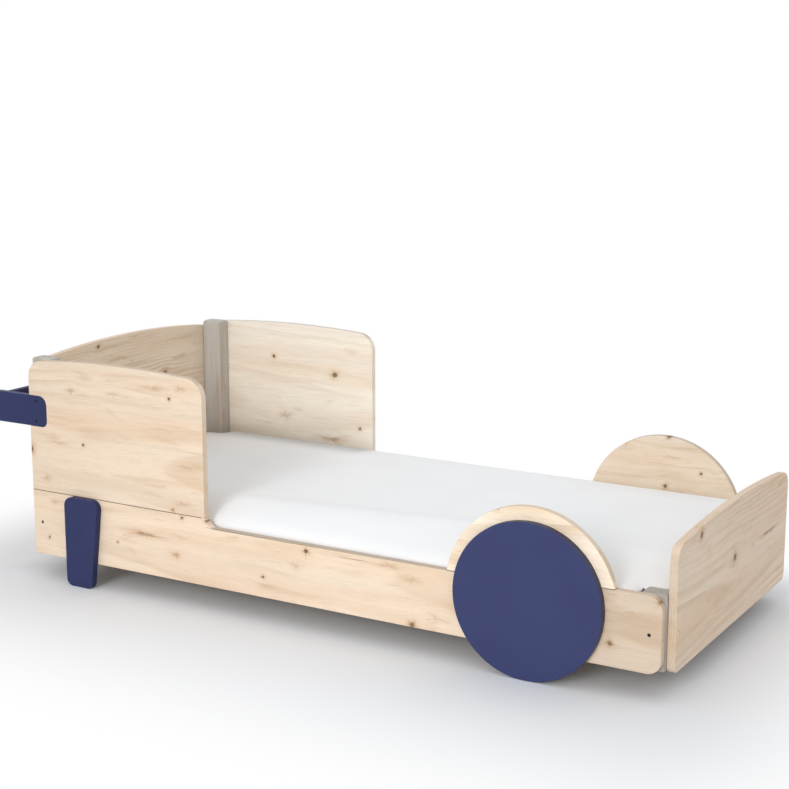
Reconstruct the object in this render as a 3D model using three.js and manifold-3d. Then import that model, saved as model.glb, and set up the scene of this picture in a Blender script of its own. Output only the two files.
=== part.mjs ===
// Toddler floor bed in knotty pine, with round painted discs as wheels.
// Millimetres, +Z up, +X towards the foot end, origin on the floor under the middle.
// "left" is the -Y side and "right" the +Y side, as seen from the foot end.
// Lengths along the bed are first measured from the rails' head end, and the whole
// bed is then shifted so that its overall box is centred.

import * as THREE from "three";
import { mergeVertices } from "three/addons/utils/BufferGeometryUtils.js";
import Module from "manifold-3d";

const wasm = await Module();
wasm.setup();

// Boards
const boardThickness = 22;

// Mattress and the room that it needs
const mattressWidth = 896;
const mattressThickness = 161;
const mattressSideGap = 5;
const mattressEndGap = 10;
const mattressPostGap = 8;
const mattressWaist = 5;
const mattressNotchBend = 14;
const mattressFootHeight = 34;
const mattressFootDraw = 22;
const mattressShoulderHeight = 28;
const mattressShoulderRun = 34;
const mattressCrownHeight = 2.5;
const mattressCrownRun = 290;
const restGap = 0.3;

// Side rails: full height at both ends and lower in the middle, where a child climbs in
const railLength = 2050;
const railHeight = 203;
const railClearance = 75;
const entryDrop = 26;
const entryFillet = 34;
const railFootCorner = 38;
const railHeadCorner = 6;

// Guard panels that stand on the rails at the head
const guardLength = 656;
const guardHeight = 399;
const guardCrown = 15.5;
const guardHeadCorner = 52;
const guardFootCorner = 57;

// Wheel discs and the arches behind them
const wheelRadius = 211;
const wheelInset = 361;
const archMargin = 32;
const archRise = 3.5;

// Legs at the head, with one upright edge and one sloping edge
const legInset = 143;
const legTopWidth = 132;
const legFootWidth = 98;
const legTopCorner = 28;
const legFootCorner = 22;

// Headboard and footboard
const endBoardSetback = 30.5;
const endBoardGap = 3;
const headboardHeight = 618;
const headboardCrown = 29.5;
const footboardHeight = 349;
const footboardCrown = 23.5;
const endBoardTopCorner = 45;
const endBoardFootCorner = 20;

// Corner posts
const postLength = 70;
const postDepth = 54;
const postChamfer = 4;
const postLift = 2;
const headPostRise = 8;

// Push handle: two arms, half lapped into the guard panels, and the bar between them
const armHeight = 94;
const armRise = 200;
const armReach = 161.5;
const armTopCorner = 28;
const armFootCorner = 19;
const lapDepth = 12;
const housingGap = 0.4;
const crossbarHeight = 70;
const crossbarInset = 8.5;
const crossbarEdge = 3;

// Slatted base
const ledgerHeight = 40;
const ledgerDepth = 28;
const ledgerRise = 12;
const ledgerEndGap = 1;
const slatWidth = 85;
const slatThickness = 18;
const slatCount = 12;
const slatEndGap = 5;
const slatPostGap = 10;
const slatEdge = 2;
const tapeWidth = 25;
const tapeThickness = 1.5;
const tapeInset = 153;

// Fasteners
const boltInset = 33;
const boltRise = 102;
const boltRadius = 3;
const boltHeadRadius = 4.7;
const boltHeadHeight = 6;
const boltSocketRadius = 2.5;
const boltSocketDepth = 3.5;
const boltSink = 8;
const boltReach = 20;
const nutRadius = 5;
const nutLength = 14;
const nutDepth = 15;
const endScrewInset = 28;
const endScrewReach = 39;
const screwRadius = 2.5;
const screwHeadRadius = 4.5;
const screwHeadHeight = 4;
const screwHeadTaper = 1;
const screwTip = 6;
const screwSink = 5;
const screwGrip = 16;
const armScrewInset = 27;
const armScrewSpacing = 62;
const armScrewGrip = 30;
const legScrewDrop = 38;
const legScrewSpacing = 80;
const wheelScrewInArch = { along: -90, up: 61 };
const wheelScrewInRail = { along: 60, up: -21 };
const fit = 0.4;

// How finely round edges are cut, and how far a drill runs past the faces that it opens
const arcSagitta = 0.15;
const samePoint = 0.001;
const wheelFacets = 96;
const rodFacets = 16;
const mattressSideSteps = 6;
const mattressEndSteps = 4;
const mattressFootSteps = 2;
const mattressShoulderSteps = 4;
const mattressCrownSteps = 2;
const overrun = 1;

// Worked out from the sizes above
const railTop = railClearance + railHeight;
const entryTop = railTop - entryDrop;
const railInner = mattressWidth / 2 + mattressSideGap;
const railOuter = railInner + boardThickness;
const outerFace = railOuter + boardThickness;
const endBoardHalfWidth = railOuter - endBoardSetback;
const endScrewY = railInner - endScrewInset;
const nutY = railInner - nutDepth;
const wheelX = railLength - wheelInset;
const archRadius = wheelRadius + archMargin;
const archCentre = wheelRadius + archRise;
const guardShoulder = railTop + guardHeight;
const postInner = railInner - postDepth;
const headPostStart = -endBoardGap;
const footPostEnd = railLength + endBoardGap;
const headPostEnd = headPostStart + postLength;
const footPostStart = footPostEnd - postLength;
const bedMiddle = railLength / 2;
const ledgerTop = railClearance + ledgerRise + ledgerHeight;
const slatTop = ledgerTop + slatThickness;
const armBottom = railTop + armRise;
const armTop = armBottom + armHeight;
const armMiddle = (armBottom + armTop) / 2;
const boltHeight = railClearance + boltRise;
const sides = [
  { name: "left", sign: -1 },
  { name: "right", sign: 1 },
];
const ends = [
  { name: "head", sign: -1, boltX: boltInset, postStart: headPostStart, face: headPostStart },
  { name: "foot", sign: 1, boltX: railLength - boltInset, postStart: footPostStart, face: footPostEnd },
];

// Finishes
const finishes = {
  pine: { color: 0xeed6b8, roughness: 0.6, metalness: 0 },
  post: { color: 0xd8c6ac, roughness: 0.65, metalness: 0 },
  navy: { color: 0x3f4770, roughness: 0.5, metalness: 0 },
  fabric: { color: 0xf0f0ee, roughness: 0.9, metalness: 0 },
  webbing: { color: 0xe6e2d8, roughness: 0.95, metalness: 0 },
  steel: { color: 0x55565a, roughness: 0.35, metalness: 1 },
};

const frame = new THREE.Group();

function addPiece(name, geometry, finish) {
  const material = new THREE.MeshStandardMaterial({ ...finishes[finish], flatShading: true });
  const mesh = new THREE.Mesh(geometry, material);
  mesh.name = name;
  frame.add(mesh);
}

// Axis changes that turn the XY drawing plane of a board without rounding
const drawnInXZ = new THREE.Matrix4().makeBasis(
  new THREE.Vector3(1, 0, 0),
  new THREE.Vector3(0, 0, 1),
  new THREE.Vector3(0, -1, 0),
);
const drawnInYZ = new THREE.Matrix4().makeBasis(
  new THREE.Vector3(0, 1, 0),
  new THREE.Vector3(0, 0, 1),
  new THREE.Vector3(1, 0, 0),
);

// Points along an arc with both ends, close enough that no chord strays past arcSagitta
function arc(x, y, radius, from, to) {
  const step = 2 * Math.acos(1 - arcSagitta / radius);
  const steps = Math.max(2, Math.ceil(Math.abs(to - from) / step));
  return Array.from({ length: steps + 1 }, (_, i) => {
    const angle = THREE.MathUtils.lerp(from, to, i / steps);
    return new THREE.Vector2(x + radius * Math.cos(angle), y + radius * Math.sin(angle));
  });
}

// A flat outline pushed out to a thickness; points that fall together are kept once
function plate(points, thickness) {
  const kept = points.filter((point, i) => point.distanceTo(points.at(i - 1)) > samePoint);
  return new THREE.ExtrudeGeometry(new THREE.Shape(kept), { depth: thickness, bevelEnabled: false });
}

// A board drawn in X and Z, on one side of the bed, with its inner face at a distance from
// the middle line
function sideBoard(points, side, inner, thickness = boardThickness) {
  const near = side.sign > 0 ? inner + thickness : -inner;
  return plate(points, thickness).applyMatrix4(drawnInXZ).translate(0, near, 0);
}

// A board drawn in Y and Z, standing from x = start towards +X
function crossBoard(points, start) {
  return plate(points, boardThickness).applyMatrix4(drawnInYZ).translate(start, 0, 0);
}

function rodAlongY(x, z, from, to, radius) {
  const geometry = new THREE.CylinderGeometry(radius, radius, Math.abs(to - from), rodFacets);
  return geometry.translate(x, (from + to) / 2, z);
}

function rodAlongX(y, z, from, to, radius) {
  const geometry = new THREE.CylinderGeometry(radius, radius, Math.abs(to - from), rodFacets);
  geometry.applyMatrix4(drawnInYZ).applyMatrix4(drawnInYZ);
  return geometry.translate((from + to) / 2, y, z);
}

// Drills for a fastener of a radius: one into a side of the bed, between two distances
// off the middle line, and one along the bed
function drillAcross(side, x, z, from, to, radius) {
  return rodAlongY(x, z, side.sign * from, side.sign * to, radius + fit);
}

function drillAlong(y, z, from, to, radius) {
  return rodAlongX(y, z, from, to, radius + fit);
}

function toSolid(geometry) {
  const bare = geometry.clone();
  bare.deleteAttribute("normal");
  bare.deleteAttribute("uv");
  const merged = mergeVertices(bare, 1e-4);
  return new wasm.Manifold(
    new wasm.Mesh({
      numProp: 3,
      vertProperties: merged.getAttribute("position").array,
      triVerts: new Uint32Array(merged.getIndex().array),
    }),
  );
}

function toGeometry(solid) {
  const mesh = solid.getMesh();
  const geometry = new THREE.BufferGeometry();
  geometry.setAttribute("position", new THREE.BufferAttribute(mesh.vertProperties, 3));
  geometry.setIndex(new THREE.BufferAttribute(mesh.triVerts, 1));
  geometry.computeVertexNormals();
  return geometry;
}

function cut(geometry, tools) {
  return toGeometry(tools.reduce((solid, tool) => solid.subtract(toSolid(tool)), toSolid(geometry)));
}

// Triangles over a level ring, wound to face up
function capTriangles(ring) {
  const flat = ring.map((point) => new THREE.Vector2(point.x, point.y));
  return THREE.ShapeUtils.triangulateShape(flat, []).map(([a, b, c]) => {
    const turn = flat[b].clone().sub(flat[a]).cross(flat[c].clone().sub(flat[a]));
    return turn > 0 ? [a, b, c] : [a, c, b];
  });
}

// A closed skin through level rings of equally many points, lowest ring first
function skin(rings) {
  const count = rings[0].length;
  const index = [];
  for (let ring = 0; ring + 1 < rings.length; ring++) {
    for (let i = 0; i < count; i++) {
      const a = ring * count + i;
      const b = ring * count + ((i + 1) % count);
      index.push(a, b, a + count, b, b + count, a + count);
    }
  }
  const top = (rings.length - 1) * count;
  for (const [a, b, c] of capTriangles(rings[0])) index.push(a, c, b);
  for (const [a, b, c] of capTriangles(rings.at(-1))) index.push(top + a, top + b, top + c);
  const geometry = new THREE.BufferGeometry();
  const positions = rings.flat().flatMap((point) => [point.x, point.y, point.z]);
  geometry.setAttribute("position", new THREE.Float32BufferAttribute(positions, 3));
  geometry.setIndex(index);
  geometry.computeVertexNormals();
  return geometry;
}

// The outline of an upright board whose top is one shallow arc, with rounded corners
function archedOutline({ left, right, bottom, shoulder, crown, leftCorner, rightCorner, footCorner }) {
  const middle = (left + right) / 2;
  const half = (right - left) / 2;
  const radius = (half * half + crown * crown) / (2 * crown);
  const centre = shoulder + crown - radius;
  const cornerHeight = (inset, corner) => centre + Math.sqrt((radius - corner) ** 2 - inset ** 2);
  const leftX = left + leftCorner;
  const rightX = right - rightCorner;
  const leftZ = cornerHeight(middle - leftX, leftCorner);
  const rightZ = cornerHeight(rightX - middle, rightCorner);
  const leftAngle = Math.atan2(leftZ - centre, leftX - middle);
  const rightAngle = Math.atan2(rightZ - centre, rightX - middle);
  const footArc = (x, from, to) =>
    footCorner > 0 ? arc(x, bottom + footCorner, footCorner, from, to) : [new THREE.Vector2(x, bottom)];
  return [
    ...footArc(left + footCorner, Math.PI, 1.5 * Math.PI),
    ...footArc(right - footCorner, -Math.PI / 2, 0),
    ...arc(rightX, rightZ, rightCorner, 0, rightAngle),
    ...arc(middle, centre, radius, rightAngle, leftAngle),
    ...arc(leftX, leftZ, leftCorner, leftAngle, Math.PI),
  ];
}

// An outline with straight edges and each corner rounded by its own radius
function roundedOutline(corners) {
  return corners.flatMap(([x, y, radius], i) => {
    const here = new THREE.Vector2(x, y);
    const towards = ([a, b]) => new THREE.Vector2(a, b).sub(here).normalize();
    const back = towards(corners.at(i - 1));
    const on = towards(corners[(i + 1) % corners.length]);
    const halfAngle = Math.acos(back.dot(on)) / 2;
    const bisector = back.clone().add(on).normalize();
    const centre = here.clone().addScaledVector(bisector, radius / Math.sin(halfAngle));
    const run = radius / Math.tan(halfAngle);
    const from = here.clone().addScaledVector(back, run).sub(centre).angle();
    const turn = Math.PI - 2 * halfAngle;
    return arc(centre.x, centre.y, radius, from, from + turn);
  });
}

// Side rails
function railOutline() {
  const drop = Math.min(entryDrop, entryFillet);
  const shoulder = Math.asin(1 - drop / entryFillet);
  const filletX = guardLength + entryFillet;
  const filletZ = entryTop + entryFillet;
  const footX = railLength - railFootCorner;
  return [
    ...arc(railHeadCorner, railClearance + railHeadCorner, railHeadCorner, Math.PI, 1.5 * Math.PI),
    ...arc(footX, railClearance + railFootCorner, railFootCorner, -Math.PI / 2, 0),
    ...arc(footX, railTop - railFootCorner, railFootCorner, 0, Math.PI / 2),
    new THREE.Vector2(wheelX, railTop),
    new THREE.Vector2(wheelX, entryTop),
    ...arc(filletX, filletZ, entryFillet, 1.5 * Math.PI, Math.PI + shoulder),
    new THREE.Vector2(filletX - entryFillet * Math.cos(shoulder), railTop),
    new THREE.Vector2(0, railTop),
  ];
}

function screwHoleInRail(side, x, z) {
  return [
    drillAcross(side, x, z, railInner - overrun, railInner + screwSink, screwHeadRadius),
    drillAcross(side, x, z, railInner, railOuter + overrun, screwRadius),
  ];
}

const legScrewX = legInset + (legTopWidth + legFootWidth) / 4;
const legScrewHeights = [railTop - legScrewDrop, railTop - legScrewDrop - legScrewSpacing];
const wheelScrews = [
  { name: "arch", x: wheelX + wheelScrewInArch.along, z: wheelRadius + wheelScrewInArch.up },
  { name: "rail", x: wheelX + wheelScrewInRail.along, z: wheelRadius + wheelScrewInRail.up },
];

function addSideRail(side) {
  const blank = sideBoard(railOutline(), side, railInner);
  const holes = ends.flatMap((end) => [
    drillAcross(side, end.boltX, boltHeight, railInner - overrun, railOuter + overrun, boltRadius),
    drillAcross(side, end.boltX, boltHeight, railOuter - boltSink, railOuter + overrun, boltHeadRadius),
  ]);
  for (const z of legScrewHeights) holes.push(...screwHoleInRail(side, legScrewX, z));
  holes.push(...screwHoleInRail(side, wheelScrews[1].x, wheelScrews[1].z));
  addPiece(`side_rail_${side.name}`, cut(blank, holes), "pine");
}

// Guard panels, each with a housing in its head end for the handle's arm
const armScrewHeights = [armMiddle - armScrewSpacing / 2, armMiddle + armScrewSpacing / 2];

function armOutline(grow) {
  const [start, end] = [-armReach - grow, headPostEnd + grow];
  const [bottom, top] = [armBottom - grow, armTop + grow];
  return roundedOutline([
    [start, bottom, armFootCorner + grow],
    [end, bottom, armFootCorner + grow],
    [end, top, armTopCorner + grow],
    [start, top, armTopCorner + grow],
  ]);
}

function armHousing(side) {
  const depth = lapDepth + housingGap;
  return sideBoard(armOutline(housingGap), side, railOuter - depth, depth + overrun);
}

function addGuardPanel(side) {
  const outline = archedOutline({
    left: 0,
    right: guardLength,
    bottom: railTop,
    shoulder: guardShoulder,
    crown: guardCrown,
    leftCorner: guardHeadCorner,
    rightCorner: guardFootCorner,
    footCorner: 0,
  });
  const holes = armScrewHeights.map((z) =>
    drillAcross(side, armScrewInset, z, railInner - overrun, railOuter, screwRadius),
  );
  const blank = sideBoard(outline, side, railInner);
  addPiece(`guard_panel_${side.name}`, cut(blank, [armHousing(side), ...holes]), "pine");
}

// Wheel arches, half discs that sit on the step in the rail
function addWheelArch(side) {
  const startAngle = Math.asin((railTop - archCentre) / archRadius);
  const endAngle = Math.PI - Math.asin((entryTop - archCentre) / archRadius);
  const outline = [
    ...arc(wheelX, archCentre, archRadius, startAngle, endAngle),
    new THREE.Vector2(wheelX, entryTop),
    new THREE.Vector2(wheelX, railTop),
  ];
  const holes = screwHoleInRail(side, wheelScrews[0].x, wheelScrews[0].z);
  addPiece(`wheel_arch_${side.name}`, cut(sideBoard(outline, side, railInner), holes), "pine");
}

// A blind screw hole in what is fastened to the rail's outer face
function blindHole(side, x, z) {
  return drillAcross(side, x, z, railOuter - overrun, railOuter + screwGrip + fit, screwRadius);
}

// Wheel discs, which stand on the floor on their lowest facet
function addWheelDisc(side) {
  const cornerRadius = wheelRadius / Math.cos(Math.PI / wheelFacets);
  const outline = Array.from({ length: wheelFacets }, (_, i) => {
    const angle = ((i + 0.5) / wheelFacets) * 2 * Math.PI;
    const onFloor = i === 0 || i === wheelFacets - 1;
    const z = onFloor ? 0 : wheelRadius - cornerRadius * Math.cos(angle);
    return new THREE.Vector2(wheelX + cornerRadius * Math.sin(angle), z);
  });
  const holes = wheelScrews.map((screw) => blindHole(side, screw.x, screw.z));
  addPiece(`wheel_disc_${side.name}`, cut(sideBoard(outline, side, railOuter), holes), "navy");
}

// Legs
function addLeg(side) {
  const outline = roundedOutline([
    [legInset, 0, legFootCorner],
    [legInset + legFootWidth, 0, legFootCorner],
    [legInset + legTopWidth, railTop, legTopCorner],
    [legInset, railTop, legTopCorner],
  ]);
  const holes = legScrewHeights.map((z) => blindHole(side, legScrewX, z));
  addPiece(`leg_${side.name}`, cut(sideBoard(outline, side, railOuter), holes), "navy");
}

// Headboard and footboard
function addEndBoard(end, name, height, crown) {
  const outline = archedOutline({
    left: -endBoardHalfWidth,
    right: endBoardHalfWidth,
    bottom: railClearance,
    shoulder: railClearance + height - crown,
    crown,
    leftCorner: endBoardTopCorner,
    rightCorner: endBoardTopCorner,
    footCorner: endBoardFootCorner,
  });
  const start = end.sign > 0 ? end.face : end.face - boardThickness;
  const outer = end.face + end.sign * boardThickness;
  const [within, beyond] = [end.face - end.sign * overrun, outer + end.sign * overrun];
  const holes = sides.flatMap((side) => [
    drillAlong(side.sign * endScrewY, boltHeight, within, beyond, boltRadius),
    drillAlong(side.sign * endScrewY, boltHeight, outer - end.sign * boltSink, beyond, boltHeadRadius),
  ]);
  addPiece(name, cut(crossBoard(outline, start), holes), "pine");
}

// Corner posts, with every long edge and both ends chamfered; the head posts carry the arms
function postRing(start, inner, z, inset) {
  const [x0, x1] = [start + inset, start + postLength - inset];
  const [y0, y1] = [inner + inset, inner + postDepth - inset];
  return [
    [x0 + postChamfer, y0],
    [x1 - postChamfer, y0],
    [x1, y0 + postChamfer],
    [x1, y1 - postChamfer],
    [x1 - postChamfer, y1],
    [x0 + postChamfer, y1],
    [x0, y1 - postChamfer],
    [x0, y0 + postChamfer],
  ].map(([x, y]) => new THREE.Vector3(x, y, z));
}

function addPost(end, side) {
  const bottom = railClearance + postLift;
  const top = end.name === "head" ? guardShoulder + headPostRise : railTop;
  const inner = side.sign > 0 ? postInner : -railInner;
  const blank = skin([
    postRing(end.postStart, inner, bottom, postChamfer),
    postRing(end.postStart, inner, bottom + postChamfer, 0),
    postRing(end.postStart, inner, top - postChamfer, 0),
    postRing(end.postStart, inner, top, postChamfer),
  ]);
  const inwards = -end.sign;
  const [outside, openFace] = [-overrun, postLength + overrun].map((x) => end.face + inwards * x);
  const screwEnd = end.face + inwards * (endScrewReach + fit);
  const nutSeat = end.boltX - inwards * (nutLength / 2 + fit);
  const boltEnd = railInner - boltReach - overrun;
  const holes = [
    drillAcross(side, end.boltX, boltHeight, railInner + overrun, boltEnd, boltRadius),
    drillAlong(side.sign * nutY, boltHeight, nutSeat, openFace, nutRadius),
    drillAlong(side.sign * endScrewY, boltHeight, outside, screwEnd, boltRadius),
  ];
  if (end.name === "head") {
    const tip = railInner - armScrewGrip - fit;
    for (const z of armScrewHeights) {
      holes.push(drillAcross(side, armScrewInset, z, railInner + overrun, tip, screwRadius));
    }
  }
  addPiece(`${end.name}_post_${side.name}`, cut(blank, holes), "post");
}

// Push handle
function armRebate(side) {
  const [start, end] = [-housingGap, headPostEnd + overrun];
  const [bottom, top] = [armBottom - overrun, armTop + overrun];
  const outline = [
    [start, bottom],
    [end, bottom],
    [end, top],
    [start, top],
  ].map(([x, z]) => new THREE.Vector2(x, z));
  return sideBoard(outline, side, railInner - overrun, boardThickness - lapDepth + overrun);
}

function addHandleArm(side) {
  const tools = armScrewHeights.flatMap((z) => [
    drillAcross(side, armScrewInset, z, railInner, railOuter + overrun, screwRadius),
    drillAcross(side, armScrewInset, z, railOuter - screwSink, railOuter + overrun, screwHeadRadius),
  ]);
  const blank = sideBoard(armOutline(0), side, railInner);
  addPiece(`handle_arm_${side.name}`, cut(blank, [armRebate(side), ...tools]), "navy");
}

// The section of a bar with eased edges
function barSection(width, height, edge) {
  const [w, h] = [width / 2, height / 2];
  return [
    [edge - w, -h],
    [w - edge, -h],
    [w, edge - h],
    [w, h - edge],
    [w - edge, h],
    [edge - w, h],
    [-w, h - edge],
    [-w, edge - h],
  ].map(([a, b]) => new THREE.Vector2(a, b));
}

// A bar that runs across the bed, centred on x and z
function crossBar(x, z, width, height, edge, reach) {
  return plate(barSection(width, height, edge), 2 * reach).applyMatrix4(drawnInXZ).translate(x, reach, z);
}

function addCrossbar() {
  const x = crossbarInset + boardThickness / 2 - armReach;
  const blank = crossBar(x, armMiddle, boardThickness, crossbarHeight, crossbarEdge, railInner);
  addPiece("handle_crossbar", blank, "navy");
}

// Slatted base
function addLedger(side) {
  const start = headPostEnd + ledgerEndGap;
  const length = footPostStart - ledgerEndGap - start;
  const geometry = plate(barSection(ledgerDepth, ledgerHeight, slatEdge), length).applyMatrix4(drawnInYZ);
  geometry.translate(start, side.sign * (railInner - ledgerDepth / 2), ledgerTop - ledgerHeight / 2);
  addPiece(`slat_ledger_${side.name}`, geometry, "pine");
}

const firstSlat = headPostEnd + slatPostGap + slatWidth / 2;
const lastSlat = footPostStart - slatPostGap - slatWidth / 2;

function addSlats() {
  for (let i = 0; i < slatCount; i++) {
    const x = THREE.MathUtils.lerp(firstSlat, lastSlat, i / (slatCount - 1));
    const height = ledgerTop + slatThickness / 2;
    const blank = crossBar(x, height, slatWidth, slatThickness, slatEdge, railInner - slatEndGap);
    addPiece(`slat_${String(i + 1).padStart(2, "0")}`, blank, "pine");
  }
}

function addTape(side) {
  const length = lastSlat - firstSlat + slatWidth - 2 * slatEdge;
  const geometry = new THREE.BoxGeometry(length, tapeWidth, tapeThickness);
  geometry.translate(bedMiddle, side.sign * (railInner - tapeInset), ledgerTop - tapeThickness / 2);
  addPiece(`slat_tape_${side.name}`, geometry, "webbing");
}

// Mattress: its corners are drawn in round the posts, its sides pull in between the
// corners, and its top is crowned
const mattressHalfLength = (footPostEnd - headPostStart) / 2 - mattressEndGap;
const mattressHalfWidth = mattressWidth / 2;
const notchLength = postLength + mattressPostGap - mattressEndGap;
const notchWidth = postDepth + mattressPostGap - mattressSideGap;

// How far a side pulls in, from the most at its middle to nothing at its corner
function waist(share) {
  return mattressWaist * Math.cos((share * Math.PI) / 2);
}

// One quarter of the outline, from the long side's middle to the short side's middle;
// soft goes from 0 at the post notch to 1 at a plain round corner
function mattressQuarter(soft) {
  const [l, w, bend] = [mattressHalfLength, mattressHalfWidth, mattressNotchBend];
  const [sideEnd, endEnd] = [l - notchLength - bend, w - notchWidth - bend];
  const notch = [
    [sideEnd, w],
    [l - notchLength, w - bend],
    [l - notchLength, w - notchWidth + bend / 2],
    [l - notchLength + bend / 2, w - notchWidth],
    [l - bend, w - notchWidth],
    [l, endEnd],
  ];
  const cornerRadius = notchLength + bend;
  const corner = notch.map(([x, y], i) => {
    const angle = (1 - i / (notch.length - 1)) * (Math.PI / 2);
    const roundX = l - cornerRadius + cornerRadius * Math.cos(angle);
    const roundY = w - cornerRadius + cornerRadius * Math.sin(angle);
    return [THREE.MathUtils.lerp(x, roundX, soft), THREE.MathUtils.lerp(y, roundY, soft)];
  });
  const steps = (count, point) => Array.from({ length: count }, (_, i) => point(i / count));
  const side = steps(mattressSideSteps, (share) => [share * sideEnd, w - waist(share)]);
  const end = steps(mattressEndSteps, (share) => [l - waist(1 - share), (1 - share) * endEnd]);
  return [...side, ...corner, ...end.slice(1)];
}

function mattressRing({ inset, height, soft }) {
  const [start, ...rest] = mattressQuarter(soft);
  const back = [...rest].reverse();
  const endMiddle = mattressHalfLength - mattressWaist;
  const clockwise = [
    start,
    ...rest,
    [endMiddle, 0],
    ...back.map(([x, y]) => [x, -y]),
    [start[0], -start[1]],
    ...rest.map(([x, y]) => [-x, -y]),
    [-endMiddle, 0],
    ...back.map(([x, y]) => [-x, y]),
  ];
  const scaleX = 1 - inset / mattressHalfLength;
  const scaleY = 1 - inset / mattressHalfWidth;
  const z = slatTop + restGap + height;
  return clockwise.reverse().map(([x, y]) => new THREE.Vector3(bedMiddle + x * scaleX, y * scaleY, z));
}

// The section: an elliptic bottom edge, an upright side, an elliptic shoulder, and a low
// crown, on which the corners turn from notched to round
function addMattress() {
  const quarter = (count) => Array.from({ length: count + 1 }, (_, i) => ((i / count) * Math.PI) / 2);
  const foot = quarter(mattressFootSteps).map((angle) => ({
    inset: mattressFootDraw * (1 - Math.sin(angle)),
    height: mattressFootHeight * (1 - Math.cos(angle)),
    soft: 0,
  }));
  const shoulderTop = mattressThickness - mattressCrownHeight;
  const shoulder = quarter(mattressShoulderSteps).map((angle) => ({
    inset: mattressShoulderRun * (1 - Math.cos(angle)),
    height: shoulderTop - mattressShoulderHeight * (1 - Math.sin(angle)),
    soft: 0,
  }));
  const crown = quarter(mattressCrownSteps)
    .slice(1)
    .map((angle) => ({
      inset: mattressShoulderRun + mattressCrownRun * (1 - Math.cos(angle)),
      height: shoulderTop + mattressCrownHeight * Math.sin(angle),
      soft: Math.sin(angle),
    }));
  addPiece("mattress", skin([...foot, ...shoulder, ...crown].map(mattressRing)), "fabric");
}

// Fasteners, turned on a lathe: the head ends at z = 0 and the shank points down
function turned(points) {
  return new THREE.LatheGeometry(points.map(([r, z]) => new THREE.Vector2(r, z)), rodFacets);
}

function boltBlank(length) {
  return turned([
    [0, -length],
    [boltRadius, -length],
    [boltRadius, 0],
    [boltHeadRadius, 0],
    [boltHeadRadius, boltHeadHeight],
    [boltSocketRadius, boltHeadHeight],
    [boltSocketRadius, boltHeadHeight - boltSocketDepth],
    [0, boltHeadHeight - boltSocketDepth],
  ]);
}

function screwBlank(length) {
  return turned([
    [0, -length],
    [screwRadius, screwTip - length],
    [screwRadius, 0],
    [screwHeadRadius, 0],
    [screwHeadRadius - screwHeadTaper, screwHeadHeight],
    [0, screwHeadHeight],
  ]);
}

function placeAlongY(geometry, x, y, z, outwards) {
  if (outwards < 0) geometry.rotateX(Math.PI);
  return geometry.translate(x, y, z);
}

function placeAlongX(geometry, x, y, z, outwards) {
  if (outwards < 0) geometry.rotateX(Math.PI);
  return geometry.applyMatrix4(drawnInYZ).applyMatrix4(drawnInYZ).translate(x, y, z);
}

function addRailBolt(end, side) {
  const seat = railOuter - boltSink;
  const bolt = boltBlank(seat - railInner + boltReach);
  placeAlongY(bolt, end.boltX, side.sign * seat, boltHeight, side.sign);
  addPiece(`rail_bolt_${end.name}_${side.name}`, bolt, "steel");
  const y = side.sign * nutY;
  const nut = rodAlongX(y, boltHeight, end.boltX - nutLength / 2, end.boltX + nutLength / 2, nutRadius);
  const through = nutRadius + overrun;
  const thread = rodAlongY(end.boltX, boltHeight, y - through, y + through, boltRadius + fit / 2);
  addPiece(`barrel_nut_${end.name}_${side.name}`, cut(nut, [thread]), "steel");
}

function addEndBoardScrew(end, side) {
  const screw = boltBlank(boardThickness - boltSink + endScrewReach);
  const seat = end.face + end.sign * (boardThickness - boltSink);
  placeAlongX(screw, seat, side.sign * endScrewY, boltHeight, end.sign);
  addPiece(`${end.name}board_screw_${side.name}`, screw, "steel");
}

function addArmScrews(side) {
  armScrewHeights.forEach((z, i) => {
    const screw = screwBlank(boardThickness - screwSink + armScrewGrip);
    placeAlongY(screw, armScrewInset, side.sign * (railOuter - screwSink), z, side.sign);
    addPiece(`arm_screw_${["lower", "upper"][i]}_${side.name}`, screw, "steel");
  });
}

function addHiddenScrew(name, x, z, side) {
  const screw = screwBlank(boardThickness - screwSink + screwGrip);
  placeAlongY(screw, x, side.sign * (railInner + screwSink), z, -side.sign);
  addPiece(`${name}_${side.name}`, screw, "steel");
}

for (const side of sides) {
  addSideRail(side);
  addGuardPanel(side);
  addWheelArch(side);
  addWheelDisc(side);
  addLeg(side);
  addHandleArm(side);
  addLedger(side);
  addTape(side);
  addArmScrews(side);
  addHiddenScrew("leg_screw_upper", legScrewX, legScrewHeights[0], side);
  addHiddenScrew("leg_screw_lower", legScrewX, legScrewHeights[1], side);
  for (const screw of wheelScrews) addHiddenScrew(`wheel_screw_${screw.name}`, screw.x, screw.z, side);
  for (const end of ends) {
    addPost(end, side);
    addRailBolt(end, side);
    addEndBoardScrew(end, side);
  }
}
addEndBoard(ends[0], "headboard", headboardHeight, headboardCrown);
addEndBoard(ends[1], "footboard", footboardHeight, footboardCrown);
addCrossbar();
addSlats();
addMattress();

frame.position.x = (armReach - footPostEnd - boardThickness) / 2;

export default frame;
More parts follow.
